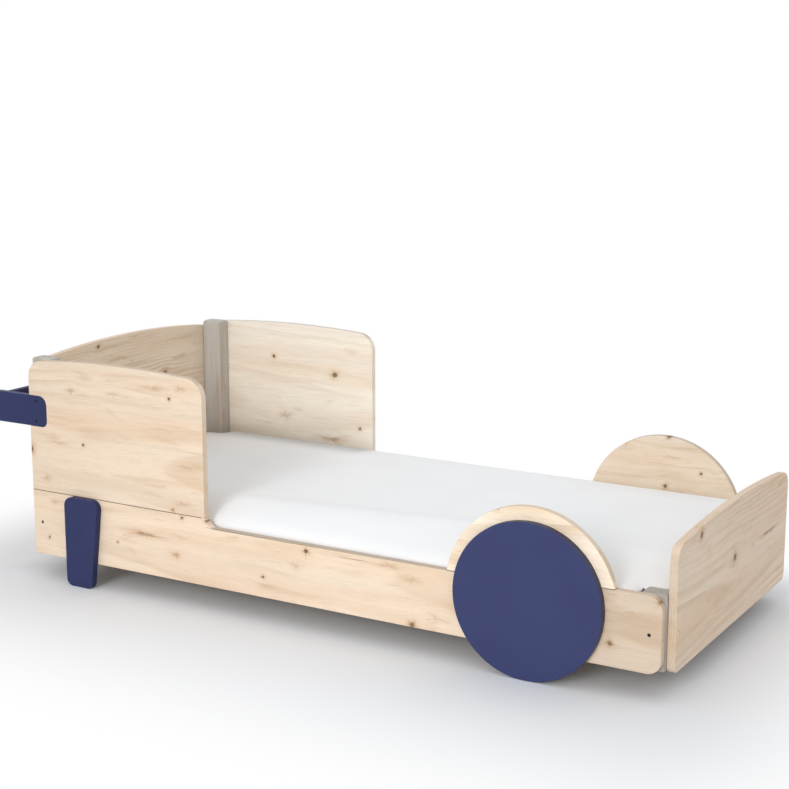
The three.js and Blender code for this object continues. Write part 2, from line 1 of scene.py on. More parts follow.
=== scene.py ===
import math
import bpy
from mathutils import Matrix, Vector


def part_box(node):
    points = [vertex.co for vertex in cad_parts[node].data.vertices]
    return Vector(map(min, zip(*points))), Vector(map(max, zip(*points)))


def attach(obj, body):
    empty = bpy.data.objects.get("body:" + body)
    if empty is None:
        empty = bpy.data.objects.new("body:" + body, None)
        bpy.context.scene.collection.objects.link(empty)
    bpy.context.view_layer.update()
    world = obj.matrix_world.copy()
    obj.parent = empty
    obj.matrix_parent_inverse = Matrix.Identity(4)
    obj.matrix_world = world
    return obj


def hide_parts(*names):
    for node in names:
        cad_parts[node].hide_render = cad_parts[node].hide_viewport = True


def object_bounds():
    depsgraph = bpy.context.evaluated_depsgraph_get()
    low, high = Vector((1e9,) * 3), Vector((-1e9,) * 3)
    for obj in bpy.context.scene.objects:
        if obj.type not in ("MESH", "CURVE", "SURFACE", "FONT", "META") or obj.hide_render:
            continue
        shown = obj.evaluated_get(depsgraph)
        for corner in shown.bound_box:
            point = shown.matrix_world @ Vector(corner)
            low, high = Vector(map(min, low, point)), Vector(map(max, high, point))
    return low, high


bl_info = {
    "name": "Toddler Floor Bed",
    "version": (1, 0, 0),
    "blender": (4, 5, 0),
    "location": "View3D > Sidebar > Floor Bed",
    "description": "Dresses a toddler floor bed: knotty pine boards, painted discs, a white mattress",
    "category": "Object",
}

from collections import Counter
from contextlib import contextmanager

import bpy
from bpy.props import FloatProperty, FloatVectorProperty, IntProperty, PointerProperty
from bpy.types import NodeSocket, Operator, Panel, PropertyGroup
from mathutils import Matrix, Vector

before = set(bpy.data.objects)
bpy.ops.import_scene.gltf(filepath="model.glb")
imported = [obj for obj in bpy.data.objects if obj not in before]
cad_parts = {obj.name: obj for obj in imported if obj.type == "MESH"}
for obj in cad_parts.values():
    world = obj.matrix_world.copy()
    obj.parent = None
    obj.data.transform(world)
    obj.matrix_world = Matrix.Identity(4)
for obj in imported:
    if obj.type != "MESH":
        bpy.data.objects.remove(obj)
cad_low, cad_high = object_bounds()

BODY = "root"
SIDES = ("left", "right")
SIDE_SIGN = {"left": -1, "right": 1}
ENDS = ("head", "foot")
FASTENER_WORDS = ("screw", "bolt", "nut")
SAME_PLACE = 1e-5
ON_PLANE = 2e-4
FLAT_ANGLE = math.radians(0.4)
SMOOTH_ANGLE = math.radians(35)
BOARD_CORNER = math.radians(45)
CHAMFER_CORNER = math.radians(25)
BOLT_HEAD_HEIGHT = 0.006
SCREW_HEAD_HEIGHT = 0.004
BOLT_SHANK_RADIUS = 0.003
SCREW_SHANK_RADIUS = 0.0025
FLOOR_WIDTH = 60.0


# Sizes and colours that a user would change


def length_setting(name, description, default):
    return FloatProperty(name=name, description=description, default=default, unit="LENGTH")


def plain_setting(name, description, default):
    return FloatProperty(name=name, description=description, default=default)


def colour_setting(name, description, default):
    return FloatVectorProperty(name=name, description=description, default=default, subtype="COLOR")


def place_setting(name, description, default):
    return FloatVectorProperty(name=name, description=description, default=default, subtype="XYZ")


class BoardSettings(PropertyGroup):
    """Edges and colours of the pine boards and posts"""

    edge_radius: length_setting("Edge Radius", "Rounding of a board's open edges", 0.0025)
    seam_share: plain_setting("Seam Edge", "Rounding at a seam, as a share of the open edge's", 0.3)
    seam_gap: length_setting("Seam Gap", "Gap left between two boards that meet", 0.0005)
    post_edge: length_setting("Post Edge", "Rounding of the posts' chamfers", 0.001)
    ring_spacing: length_setting("Ring Spacing", "Distance between growth rings", 0.0074)
    ring_depth: plain_setting("Ring Depth", "How dark the growth rings are", 0.4)
    streak_depth: plain_setting("Streak Depth", "How dark the streaks are", 0.45)
    smudge_depth: plain_setting("Smudge Depth", "How dark the tan smudges are", 0.45)
    pale: colour_setting("Pale Wood", "Lightest wood", (0.80, 0.65, 0.498))
    warm: colour_setting("Warm Wood", "Wood in the warmer patches", (0.745, 0.565, 0.405))
    streak: colour_setting("Streaks", "Darker streaks along the grain", (0.56, 0.37, 0.215))
    smear: colour_setting("Smears", "Tan wood round a knot", (0.49, 0.29, 0.145))
    knot: colour_setting("Knots", "Heart of a knot", (0.115, 0.058, 0.028))
    cool: colour_setting("Cool Wood", "Wood in the greyer bands", (0.68, 0.59, 0.495))
    cool_depth: plain_setting("Cool Depth", "How strong the greyer bands are", 0.22)
    head_tone: colour_setting("Head Tone", "Tint over the head posts' wood", (0.67, 0.80, 0.96))
    foot_tone: colour_setting("Foot Tone", "Tint over the foot posts' wood", (0.52, 0.615, 0.73))


class PaintSettings(PropertyGroup):
    """Navy paint and the edges under it"""

    colour: colour_setting("Navy", "Paint on discs, legs and handle", (0.0385, 0.048, 0.133))
    small_share: plain_setting(
        "Small Parts", "Paint on legs and handle, as a share of the discs' colour", 0.84
    )
    roughness: plain_setting("Roughness", "Sheen of the paint", 0.42)
    # Painted shade: how much blacker the discs' sides and edges are drawn
    edge_shade_depth: plain_setting("Edge Dark", "How much blacker the discs' edges are", 0.6)
    edge_radius: length_setting("Edge Radius", "Rounding of the painted boards' edges", 0.002)


class MattressSettings(PropertyGroup):
    """Form of the mattress and its cover"""

    cover: colour_setting("Cover", "Colour of the cotton cover", (0.882, 0.884, 0.888))
    voxel: length_setting("Voxel", "Size of the grid that the cover is rebuilt on", 0.014)
    slack: length_setting("Slack", "How much smaller the cover starts before it is filled", 0.003)
    pressure: plain_setting("Pressure", "Filling pressure of the simulation", 4.0)
    swell: length_setting("Swell", "Furthest that the filling may push the cover", 0.003)
    frames: IntProperty(name="Frames", description="Length of the simulation", default=20)
    roll: length_setting("Roll", "How far the edge is sat down where a child climbs in", 0.044)
    ridge: length_setting("Ridge", "Height of the low ridge behind that edge", 0.0042)
    foot_slope: length_setting(
        "Foot Slope", "How far the near edge lies lower beside the wheel and foot", 0.028
    )
    post_gap: length_setting("Post Gap", "Room between the cover and a corner post", 0.008)
    slot: length_setting("Slot", "Width of the slot between the cover and a foot post", 0.017)


class FastenerSettings(PropertyGroup):
    """Recesses in the heads of bolts and screws, and the cover caps"""

    hex_radius: length_setting("Hex Socket", "Corner radius of the bolts' hex socket", 0.0026)
    cross_radius: length_setting("Cross Recess", "Reach of the screws' cross recess", 0.0026)
    recess_depth: length_setting("Recess Depth", "Depth of socket and cross", 0.0025)
    rim: length_setting("Rim", "Rounding of a head's rim", 0.0005)
    cap_radius: length_setting("Cap Radius", "Radius of the footboard's cover caps", 0.0068)
    cap_proud: length_setting("Cap Height", "How far a cap stands proud of the footboard", 0.0008)


class StageSettings(PropertyGroup):
    """Camera, lamp and floor"""

    camera_place: place_setting("Camera Place", "Where the camera stands", (2.41875, -4.0077, 1.5378))
    camera_turn: FloatVectorProperty(
        name="Camera Turn", description="Camera rotation", subtype="EULER",
        default=(math.radians(78.545), 0.0, math.radians(30.551))
    )
    lens: plain_setting("Lens", "Focal length on a 36 mm sensor", 72.9)
    sky: colour_setting("Sky", "Colour of the light from all round", (0.97, 0.985, 1.0))
    sky_level: plain_setting("Sky Level", "Strength of the light from all round", 0.85)
    key_place: place_setting("Key Place", "Where the front lamp stands", (0.5, -7.0, 2.9))
    key_aim: place_setting("Key Aim", "Where the front lamp points", (0.2, -0.4, 0.3))
    key_power: FloatProperty(
        name="Key Power", description="Power of the front lamp", default=1880.0, unit="POWER"
    )
    key_radius: length_setting("Key Radius", "Size of the front lamp", 2.0)
    key_spread: FloatProperty(
        name="Key Spread", description="Width of the front lamp's beam", subtype="ANGLE",
        default=math.radians(31.5)
    )
    floor: colour_setting("Floor", "Colour of the floor", (0.82, 0.83, 0.85))
    white_start: length_setting(
        "White Start", "Distance from the bed at which the floor turns white", 0.02
    )
    white_end: length_setting(
        "White End", "Distance from the bed at which the floor is all white", 0.85
    )
    end_share: plain_setting(
        "End Share", "How much sooner the floor turns white past the bed's ends", 1.5
    )
    far_share: plain_setting("Far Share", "How much sooner the floor turns white behind the bed", 2.2)
    # Painted shadow under the bed, in the floor's own colour
    under_bed_shadow: plain_setting("Under Bed", "Tone of the floor under the bed", 0.84)


# Selecting, copying and finishing


def settings(name):
    return getattr(bpy.context.scene, name)


def select_only(piece):
    bpy.ops.object.select_all(action="DESELECT")
    piece.select_set(True)
    bpy.context.view_layer.objects.active = piece


@contextmanager
def editing(piece, action="SELECT"):
    """Edit mode on one piece, with everything selected or nothing"""
    select_only(piece)
    bpy.ops.object.mode_set(mode="EDIT")
    bpy.ops.mesh.select_all(action=action)
    yield
    bpy.ops.object.mode_set(mode="OBJECT")


def modify(piece, kind, **choices):
    """Adds a modifier with these choices and applies it"""
    modifier = piece.modifiers.new(kind, kind)
    for key, value in choices.items():
        setattr(modifier, key, value)
    select_only(piece)
    bpy.ops.object.modifier_apply(modifier=modifier.name)


def own_copy(source, name):
    """A copy of an object with its own mesh"""
    piece = bpy.data.objects.new(name, source.data.copy())
    bpy.context.scene.collection.objects.link(piece)
    return piece


def merged_copy(node, name):
    """A copy of a frame node with its loose triangles merged into whole flat faces"""
    piece = own_copy(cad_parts[node], name)
    piece.data.materials.clear()
    with editing(piece):
        bpy.ops.mesh.remove_doubles(threshold=SAME_PLACE)
        bpy.ops.mesh.dissolve_limited(angle_limit=FLAT_ANGLE)
    return piece


def fastener_rooms():
    """The space round each fastener, in which a board's edges belong to its hole"""
    margin = Vector((0.002, 0.002, 0.002))
    rooms = []
    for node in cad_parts:
        if any(word in node for word in FASTENER_WORDS):
            low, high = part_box(node)
            rooms.append((low - margin, high + margin))
    return rooms


def inside(point, room):
    low, high = room
    return all(low[i] <= point[i] <= high[i] for i in range(3))


def weigh_edges(piece, sharpness, on_seam, seam_share):
    """Marks the sharp edges to be rounded: whole at open edges, less at a seam, none in a screw hole"""
    rooms = fastener_rooms()
    mesh = piece.data
    faces_of = {}
    for polygon in mesh.polygons:
        for key in polygon.edge_keys:
            faces_of.setdefault(key, []).append(polygon)
    weights = mesh.attributes.new("bevel_weight_edge", "FLOAT", "EDGE")
    for edge in mesh.edges:
        sharers = faces_of.get(edge.key, [])
        if len(sharers) != 2 or sharers[0].normal.angle(sharers[1].normal) < sharpness:
            continue
        ends = [mesh.vertices[i].co for i in edge.vertices]
        if any(inside(ends[0], room) and inside(ends[1], room) for room in rooms):
            continue
        seam = on_seam is not None and all(on_seam(end) for end in ends)
        weights.data[edge.index].value = seam_share if seam else 1.0


def round_edges(piece, radius, segments):
    """Rounds the marked edges and leaves the flats shading flat"""
    choices = {"limit_method": "WEIGHT", "width": radius, "segments": segments, "use_clamp_overlap": True}
    modify(piece, "BEVEL", **choices)
    bpy.ops.object.shade_smooth_by_angle(angle=SMOOTH_ANGLE)
    modify(piece, "WEIGHTED_NORMAL", keep_sharp=True, weight=100)


def repaint(piece, material):
    piece.data.materials.clear()
    piece.data.materials.append(material)


def dress(piece, node, material):
    """Gives the piece its finish and lets it stand for a frame node"""
    repaint(piece, material)
    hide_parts(node)
    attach(piece, BODY)


# Materials


class Web:
    """Adds nodes to one tree and wires them, so that a pattern reads like a sum"""

    def __init__(self, tree):
        self.tree = tree

    def node(self, kind, *values, **choices):
        """A new node with these choices, its first inputs fed with the values"""
        made = self.tree.nodes.new(kind)
        for key, value in choices.items():
            setattr(made, key, value)
        for socket, value in zip(made.inputs, values):
            self.feed(socket, value)
        return made

    def feed(self, socket, value):
        if isinstance(value, NodeSocket):
            self.tree.links.new(value, socket)
        elif socket.type == "RGBA":
            socket.default_value = (*value, 1.0)
        else:
            socket.default_value = value

    def fill(self, node, values):
        """Feeds a node's inputs by name"""
        for name, value in values.items():
            self.feed(node.inputs[name], value)

    def sum(self, operation, *values):
        return self.node("ShaderNodeMath", *values, operation=operation).outputs[0]

    def plus(self, first, second):
        return self.sum("ADD", first, second)

    def minus(self, first, second):
        return self.sum("SUBTRACT", first, second)

    def times(self, first, second):
        return self.sum("MULTIPLY", first, second)

    def vector(self, x, y, z=0.0):
        return self.node("ShaderNodeCombineXYZ", x, y, z).outputs[0]

    def noise(self, vector, detail=2.0, roughness=0.5):
        made = self.node("ShaderNodeTexNoise")
        self.fill(made, {"Vector": vector, "Scale": 1.0, "Detail": detail, "Roughness": roughness})
        return made.outputs["Fac"]

    def ramp(self, value, low, high, start=0.0, end=1.0):
        made = self.node("ShaderNodeMapRange", value, interpolation_type="SMOOTHSTEP")
        self.fill(made, {"From Min": low, "From Max": high, "To Min": start, "To Max": end})
        return made.outputs["Result"]

    def mix(self, factor, first, second, blend="MIX"):
        made = self.node("ShaderNodeMix", factor, data_type="RGBA", blend_type=blend)
        colours = [socket for socket in made.inputs if socket.type == "RGBA"]
        for socket, value in zip(colours, (first, second)):
            self.feed(socket, value)
        return [socket for socket in made.outputs if socket.type == "RGBA"][0]

    def shaded(self, colour, level):
        """The colour, darker or lighter by a level"""
        return self.mix(1.0, colour, self.vector(level, level, level), blend="MULTIPLY")

    def place(self):
        """The three coordinates of the shaded point, in metres, in the frame"""
        point = self.node("ShaderNodeTexCoord").outputs["Object"]
        return self.node("ShaderNodeSeparateXYZ", point).outputs


def new_material(name):
    material = bpy.data.materials.new(name)
    material.use_nodes = True
    web = Web(material.node_tree)
    shader = material.node_tree.nodes["Principled BSDF"]
    return material, web, shader


def bump(web, shader, height, distance):
    made = web.node("ShaderNodeBump")
    web.fill(made, {"Strength": 1.0, "Distance": distance, "Height": height})
    web.feed(shader.inputs["Normal"], made.outputs["Normal"])


def knot_group():
    """A group that pushes the grain aside round one knot and adds its heart and halo; a faint knot
    has a halo alone"""
    faint = 0.28
    tree = bpy.data.node_groups.get("Knot in the grain")
    if tree:
        return tree
    tree = bpy.data.node_groups.new("Knot in the grain", "ShaderNodeTree")
    results = ("Shift", "Heart", "Halo")
    knot = ("Knot Along", "Knot Across", "Radius", "Stretch", "Dark")
    for name in ("Along", "Across", *results, *knot):
        tree.interface.new_socket(name, in_out="INPUT", socket_type="NodeSocketFloat")
    for name in results:
        tree.interface.new_socket(name, in_out="OUTPUT", socket_type="NodeSocketFloat")
    web = Web(tree)
    given = web.node("NodeGroupInput").outputs
    wander_scale = 160.0
    uneven = web.vector(web.times(given["Along"], wander_scale), web.times(given["Across"], wander_scale))
    wander = web.times(web.minus(web.noise(uneven), 0.5), given["Radius"])
    aside = web.minus(given["Across"], given["Knot Across"])
    length = web.times(given["Radius"], given["Stretch"])
    a = web.sum("DIVIDE", web.minus(given["Along"], given["Knot Along"]), length)
    b = web.sum("DIVIDE", web.plus(aside, wander), given["Radius"])
    far = web.plus(web.times(a, a), web.times(b, b))
    wide = web.sum("DIVIDE", 1.0, web.plus(1.0, web.times(far, 0.16)))
    reach = web.sum("SQRT", web.plus(far, 0.01))
    turn = web.vector(
        web.plus(web.times(web.sum("DIVIDE", a, reach), 1.9), web.times(far, 0.02)),
        web.times(web.sum("DIVIDE", b, reach), 1.9),
        web.times(given["Knot Along"], 37.0),
    )
    rays = web.ramp(web.noise(turn, detail=3.0), 0.4, 0.62, 0.45, 1.5)
    dark = web.times(web.sum("MAXIMUM", web.minus(given["Dark"], faint), 0.0), 1.39)
    heart = web.times(web.ramp(far, 1.35, 0.45), dark)
    near = web.times(web.sum("POWER", wide, 3.0), web.plus(given["Dark"], faint))
    web.fill(web.node("NodeGroupOutput"), {
        "Shift": web.minus(given["Shift"], web.times(aside, wide)),
        "Heart": web.sum("MAXIMUM", given["Heart"], heart),
        "Halo": web.sum("MAXIMUM", given["Halo"], web.times(near, rays)),
    })
    return tree


def pine_material(
    name, axes, start, knots=(), tint=None, tint_end=None, seam_shade_lines=(), fade=None, top=None, edge=None,
    rim=None, contrast=1.0
):
    """Knotty pine for one board. axes orders the frame's coordinates as along, across and through
    the grain, and start is where the board lies in its log. Each knot is (along, across, radius,
    stretch along the grain, darkness), and each seam shade line is painted shade in the gap of a
    seam, (height, start, end) along the bed. The wood turns darker along fade (start, end, level).
    top (height, start, end) is an edge that faces up, with painted shade where the mattress beside
    it shades it. A narrow edge is darker between two faces and up to an end: edge (inner, outer,
    end, level). A cap is in shade past its rim (along, across, radius). The tint, for some boards
    partly painted light, stops short of a face at tint_end from the middle plane. contrast scales
    the grain. All are in metres"""
    wood = settings("bed_boards")
    tilt = 0.012
    halo_limit, top_shade_colour = 0.88, (0.36, 0.30, 0.24)
    material, web, shader = new_material(name)
    place = web.place()
    along, across, through = (place["XYZ".index(axis)] for axis in axes)
    shift, heart, halo = 0.0, 0.0, 0.0
    for knot in knots:
        values = (along, across, shift, heart, halo, *knot)
        shift, heart, halo = web.node("ShaderNodeGroup", *values, node_tree=knot_group()).outputs
    u = web.plus(along, start[0])
    v = web.plus(web.plus(across, shift), start[1])
    inner = web.plus(through, start[2])
    w = web.plus(inner, web.times(along, tilt))

    def pattern(scale_along, scale_across, **choices):
        stretched = (web.times(u, scale_along), web.times(v, scale_across), web.times(inner, scale_across))
        return web.noise(web.vector(*stretched), **choices)

    drift = web.times(web.minus(pattern(0.8, 3.0), 0.5), 0.03)
    ripple = web.times(web.minus(pattern(4.0, 24.0), 0.5), 0.008)
    bent = web.plus(v, web.plus(drift, ripple))
    distance = web.sum("SQRT", web.plus(web.times(bent, bent), web.times(w, w)))
    ring = web.sum("FRACT", web.sum("DIVIDE", distance, wood.ring_spacing))
    late = web.times(web.ramp(ring, 0.3, 0.86), web.ramp(ring, 1.0, 0.9))
    presence = web.ramp(pattern(2.4, 9.0), 0.38, 0.68, 0.12, 1.0)
    late = web.times(late, presence)
    patch = web.ramp(pattern(1.3, 17.0), 0.36, 0.68)
    streak = web.ramp(pattern(3.4, 62.0, detail=4.0, roughness=0.6), 0.5, 0.8)
    smudge = web.ramp(pattern(9.0, 42.0, detail=3.0, roughness=0.6), 0.57, 0.76)
    fibre = pattern(22.0, 520.0)
    cool = web.ramp(pattern(0.8, 11.0), 0.4, 0.66)

    colour = web.mix(patch, wood.pale, wood.warm)
    grain = ((smudge, wood.smudge_depth), (streak, wood.streak_depth), (late, wood.ring_depth))
    for layer, depth in grain:
        colour = web.mix(web.times(layer, min(depth * contrast, 1.0)), colour, wood.streak)
    colour = web.mix(web.times(cool, wood.cool_depth), colour, wood.cool)
    colour = web.shaded(colour, web.ramp(fibre, 0.25, 0.75, 0.94, 1.04))
    colour = web.mix(web.sum("MINIMUM", web.times(halo, 1.1), halo_limit), colour, wood.smear)
    colour = web.mix(heart, colour, wood.knot)

    def line(height, line_start, line_end, width, level):
        """A line along the bed at a height, soft at its sides"""
        off = web.sum("ABSOLUTE", web.minus(place[2], height))
        past_start = web.ramp(place[0], line_start - 0.001, line_start)
        before_end = web.ramp(place[0], line_end + 0.001, line_end)
        on_line = web.ramp(off, width, width * 0.45, 0.0, level)
        return web.times(on_line, web.times(past_start, before_end))

    # Painted shade in each seam's gap: a dark line along the joint where two boards meet
    for seam in seam_shade_lines:
        colour = web.mix(line(*seam, 0.0018, 0.75), colour, wood.knot)
    if fade is not None:
        colour = web.shaded(colour, web.ramp(along, fade[0], fade[1], 1.0, fade[2]))
    # Painted shade on the rail's top edge in the entry, where the mattress beside it shades it
    if top is not None:
        colour = web.mix(line(*top, 0.0014, 0.7), colour, top_shade_colour)
    if edge is not None:
        depth = web.sum("ABSOLUTE", through)
        past_inner = web.ramp(depth, edge[0], edge[0] + 0.002)
        between = web.times(past_inner, web.ramp(depth, edge[1], edge[1] - 0.002))
        between = web.times(between, web.ramp(along, edge[2], edge[2] - 0.01))
        colour = web.shaded(colour, web.ramp(between, 0.0, 1.0, 1.0, edge[3]))
    if rim is not None:
        aside = web.vector(web.minus(along, rim[0]), web.minus(across, rim[1]))
        away = web.node("ShaderNodeVectorMath", aside, operation="LENGTH")
        past_rim = web.ramp(away.outputs["Value"], rim[2], rim[2] + 0.0006, 0.0, 0.62)
        colour = web.mix(past_rim, colour, wood.knot)
    # The tint: a board's own hue, and on some side boards partly painted light, such as the far guard's
    # inner face drawn lighter where the near guard shades it
    if tint is not None:
        share = 1.0
        if tint_end is not None:
            share = web.ramp(web.sum("ABSOLUTE", through), tint_end - 0.0005, tint_end - 0.0025)
        colour = web.mix(share, colour, tint, blend="MULTIPLY")
    web.fill(shader, {
        "Base Color": colour,
        "Roughness": web.ramp(fibre, 0.2, 0.8, 0.5, 0.62),
        "Specular IOR Level": 0.3,
    })
    bump(web, shader, web.minus(web.times(fibre, 0.35), web.times(late, 0.5)), 0.00012)
    return material


def paint_material(name, share, gloss, face=None):
    """Satin navy paint, rolled on: faint stipple, a slight change of sheen, and painted shade that
    makes the sides and edges blacker wherever a board lies behind its face, which is that far from
    the middle plane"""
    paint = settings("bed_paint")
    edge_shade_colour = (0.045, 0.038, 0.04)
    material, web, shader = new_material(name)
    x, y, z = web.place()
    point = web.vector(x, y, z)

    def grained(scale, detail=2.0):
        scaled = web.node("ShaderNodeVectorMath", point, operation="SCALE")
        scaled.inputs["Scale"].default_value = scale
        return web.noise(scaled.outputs[0], detail=detail)

    plain, deep = (tuple(channel * level for channel in paint.colour) for level in (share, share * 0.92))
    colour = web.mix(web.ramp(grained(9.0), 0.35, 0.65), plain, deep)
    # Painted shade: the disc's sides and edges behind its face are drawn blacker, as if in shadow
    if face is not None:
        behind = web.ramp(web.sum("ABSOLUTE", y), face - 0.0008, face - 0.0022)
        colour = web.mix(web.times(behind, paint.edge_shade_depth), colour, edge_shade_colour)
    web.fill(shader, {
        "Base Color": colour,
        "Roughness": web.ramp(grained(38.0), 0.3, 0.7, paint.roughness - 0.04, paint.roughness + 0.06),
        "Specular IOR Level": gloss,
    })
    bump(web, shader, grained(1400.0, 1.0), 0.00006)
    return material


def steel_material(name):
    """Burnished steel with fine turning marks"""
    colour, roughness = (0.05, 0.05, 0.055), 0.38
    material, web, shader = new_material(name)
    x, y, z = web.place()
    marks = web.noise(web.vector(web.times(x, 900.0), web.times(z, 900.0), y))
    web.fill(shader, {
        "Base Color": web.shaded(colour, web.ramp(marks, 0.3, 0.7, 0.85, 1.15)),
        "Metallic": 1.0,
        "Roughness": web.ramp(marks, 0.3, 0.7, roughness - 0.05, roughness + 0.08),
    })
    bump(web, shader, marks, 0.00003)
    return material


def weave_material(name, colour, pitch, depth, softness, shade=None, slot=None):
    """Plain woven cloth: two sets of crossing threads, with slubs and a soft nap. It turns darker in
    a strip before y, up to x, with painted shade: shade (y, width, x, level). It is darkest in the
    slots between two places along the bed, further out than y, with painted shade: slot (start,
    end, y, level)"""
    material, web, shader = new_material(name)
    x, y, z = web.place()
    warp = web.sum("SINE", web.times(x, 2 * math.pi / pitch))
    weft = web.sum("SINE", web.times(web.plus(y, z), 2 * math.pi / pitch))
    threads = web.times(warp, weft)
    slub = web.noise(web.vector(web.times(x, 300.0), web.times(y, 40.0), z))
    wide = web.noise(web.vector(web.times(x, 5.0), web.times(y, 7.0), web.times(z, 7.0)))
    tone = web.ramp(web.plus(wide, web.times(slub, 0.2)), 0.35, 0.85, 0.975, 1.0)
    # Painted shade: a darker strip along the cover's far edge, beside the guard that would shade it
    if shade is not None:
        strip = web.ramp(y, shade[0] - shade[1], shade[0])
        strip = web.times(strip, web.ramp(x, shade[2] + 0.08, shade[2] - 0.02))
        tone = web.times(tone, web.ramp(strip, 0.0, 1.0, 1.0, shade[3]))
    # Painted shade: the slot beside a foot post is drawn nearly black, as deep shade
    if slot is not None:
        past_start = web.ramp(x, slot[0] - 0.002, slot[0])
        within = web.times(past_start, web.ramp(x, slot[1] + 0.002, slot[1]))
        within = web.times(within, web.ramp(web.sum("ABSOLUTE", y), slot[2] - 0.003, slot[2] + 0.002))
        tone = web.times(tone, web.ramp(within, 0.0, 1.0, 1.0, slot[3]))
    web.fill(shader, {
        "Base Color": web.shaded(colour, tone),
        "Roughness": 0.92,
        "Specular IOR Level": 0.15,
        "Sheen Weight": softness,
        "Sheen Roughness": 0.5,
    })
    bump(web, shader, web.plus(threads, web.times(slub, 0.5)), depth)
    return material


# Boards

# Knots on each board's faces: along, across, radius, stretch along the grain, darkness
KNOTS = {
    "guard_left": (
        (-0.748, 0.441, 0.0036, 1.1, 1.0),
        (-0.417, 0.616, 0.0040, 1.0, 0.9),
        (-0.957, 0.404, 0.0090, 0.9, 0.95),
        (-0.788, 0.601, 0.0062, 1.5, 0.34),
        (-0.625, 0.608, 0.0040, 4.0, 0.15),
        (-0.481, 0.642, 0.0050, 6.0, 0.22),
        (-0.376, 0.648, 0.0046, 3.0, 0.24),
        (-0.845, 0.438, 0.0042, 5.0, 0.2),
        (-0.898, 0.321, 0.0060, 2.0, 0.18),
        (-0.360, 0.420, 0.0045, 4.0, 0.12),
        (-0.376, 0.308, 0.0050, 4.0, 0.2),
        (-0.414, 0.287, 0.0042, 1.0, 0.55),
    ),
    "rail_left": (
        (-0.382, 0.268, 0.0042, 1.1, 0.8),
        (-0.295, 0.270, 0.0036, 1.1, 0.7),
        (-0.897, 0.133, 0.0035, 1.0, 0.8),
        (-0.626, 0.158, 0.0028, 1.0, 0.75),
        (-0.869, 0.249, 0.0052, 2.0, 0.25),
        (-0.520, 0.198, 0.0056, 6.0, 0.5),
        (-0.408, 0.152, 0.0066, 1.7, 0.38),
        (0.011, 0.188, 0.0070, 1.4, 0.16),
        (0.203, 0.236, 0.0008, 55.0, 0.55),
        (-0.081, 0.112, 0.0050, 4.0, 0.18),
        (0.316, 0.236, 0.0060, 4.0, 0.2),
        (0.384, 0.207, 0.0055, 3.0, 0.18),
        (0.464, 0.113, 0.0080, 2.5, 0.16),
        (0.388, 0.082, 0.0068, 1.1, 0.8),
        (-0.098, 0.136, 0.0036, 1.1, 0.9),
        (0.049, 0.235, 0.0060, 1.1, 0.95),
        (0.958, 0.136, 0.0058, 1.1, 0.7),
        (1.088, 0.266, 0.0060, 1.2, 0.5),
    ),
    "guard_right": (
        (-0.448, 0.531, 0.0085, 1.2, 0.85),
        (-0.697, 0.574, 0.0052, 1.0, 0.95),
        (-0.650, 0.371, 0.0090, 1.5, 0.24),
        (-0.349, 0.356, 0.0045, 1.1, 0.85),
        (-0.470, 0.307, 0.0080, 4.5, 0.4),
    ),
    "rail_right": (
        (-0.560, 0.180, 0.0060, 1.2, 0.8),
        (0.210, 0.150, 0.0045, 1.1, 0.9),
        (0.640, 0.120, 0.0070, 1.3, 0.6),
    ),
    "arch_left": ((0.640, 0.440, 0.0030, 1.0, 0.4),),
    "arch_right": (
        (0.739, 0.303, 0.0050, 1.1, 0.85),
        (0.851, 0.355, 0.0036, 1.1, 0.95),
        (0.746, 0.457, 0.0050, 1.4, 0.7),
        (0.610, 0.420, 0.0060, 1.8, 0.2),
    ),
    "headboard": (
        (-0.149, 0.672, 0.0060, 1.1, 0.85),
        (0.184, 0.536, 0.0070, 1.3, 0.8),
        (-0.260, 0.300, 0.0060, 1.2, 0.85),
        (0.080, 0.210, 0.0080, 1.3, 0.6),
    ),
    "footboard": (
        (-0.013, 0.263, 0.0095, 1.1, 0.85),
        (-0.283, 0.393, 0.0080, 1.1, 0.8),
        (0.280, 0.262, 0.0042, 12.0, 0.5),
    ),
}


# How each board's wood differs from the common colours: partly its own hue, and partly
# painted light that makes a board lighter or darker than the lighting leaves it
TINTS_AND_PAINTED_LIGHT = {
    "rail_left": (1.03, 1.03, 1.03),
    "guard_right": (1.14, 1.28, 1.44),
    "arch_left": (1.20, 1.28, 1.34),
    "arch_right": (0.95, 1.0, 1.05),
    "headboard": (1.0, 1.03, 1.06),
}


def contact_tests():
    """For each kind of board, whether a point lies on its seam with another board"""
    rail_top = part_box("guard_panel_left")[0].z
    guard_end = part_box("guard_panel_left")[1].x
    arch_low, arch_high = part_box("wheel_arch_left")
    rail_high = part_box("side_rail_left")[1].z

    def level(point, height):
        return abs(point.z - height) < ON_PLANE

    def at_guard(point):
        return level(point, rail_top) and point.x < guard_end + ON_PLANE

    def at_arch(point):
        low = level(point, arch_low.z) and point.x > arch_low.x - ON_PLANE
        high = level(point, rail_high) and point.x > arch_low.x
        return (low or high) and point.x < arch_high.x + ON_PLANE

    return at_guard, at_arch


def board(
    node, material, radius, on_seam=None, cuts=(), lift=None, sharpness=BOARD_CORNER, segments=3,
    ending="board"
):
    """One board: a merged copy of its node, parted at the cuts, lifted off its seam and rounded"""
    boards = settings("bed_boards")
    piece = merged_copy(node, f"{node}_{ending}")
    for x in cuts:
        with editing(piece):
            bpy.ops.mesh.bisect(plane_co=(x, 0.0, 0.0), plane_no=(1.0, 0.0, 0.0))
    weigh_edges(piece, sharpness, on_seam, boards.seam_share)
    if lift:
        for vertex in piece.data.vertices:
            if lift(vertex.co):
                vertex.co.z += boards.seam_gap
    round_edges(piece, radius, segments)
    dress(piece, node, material)


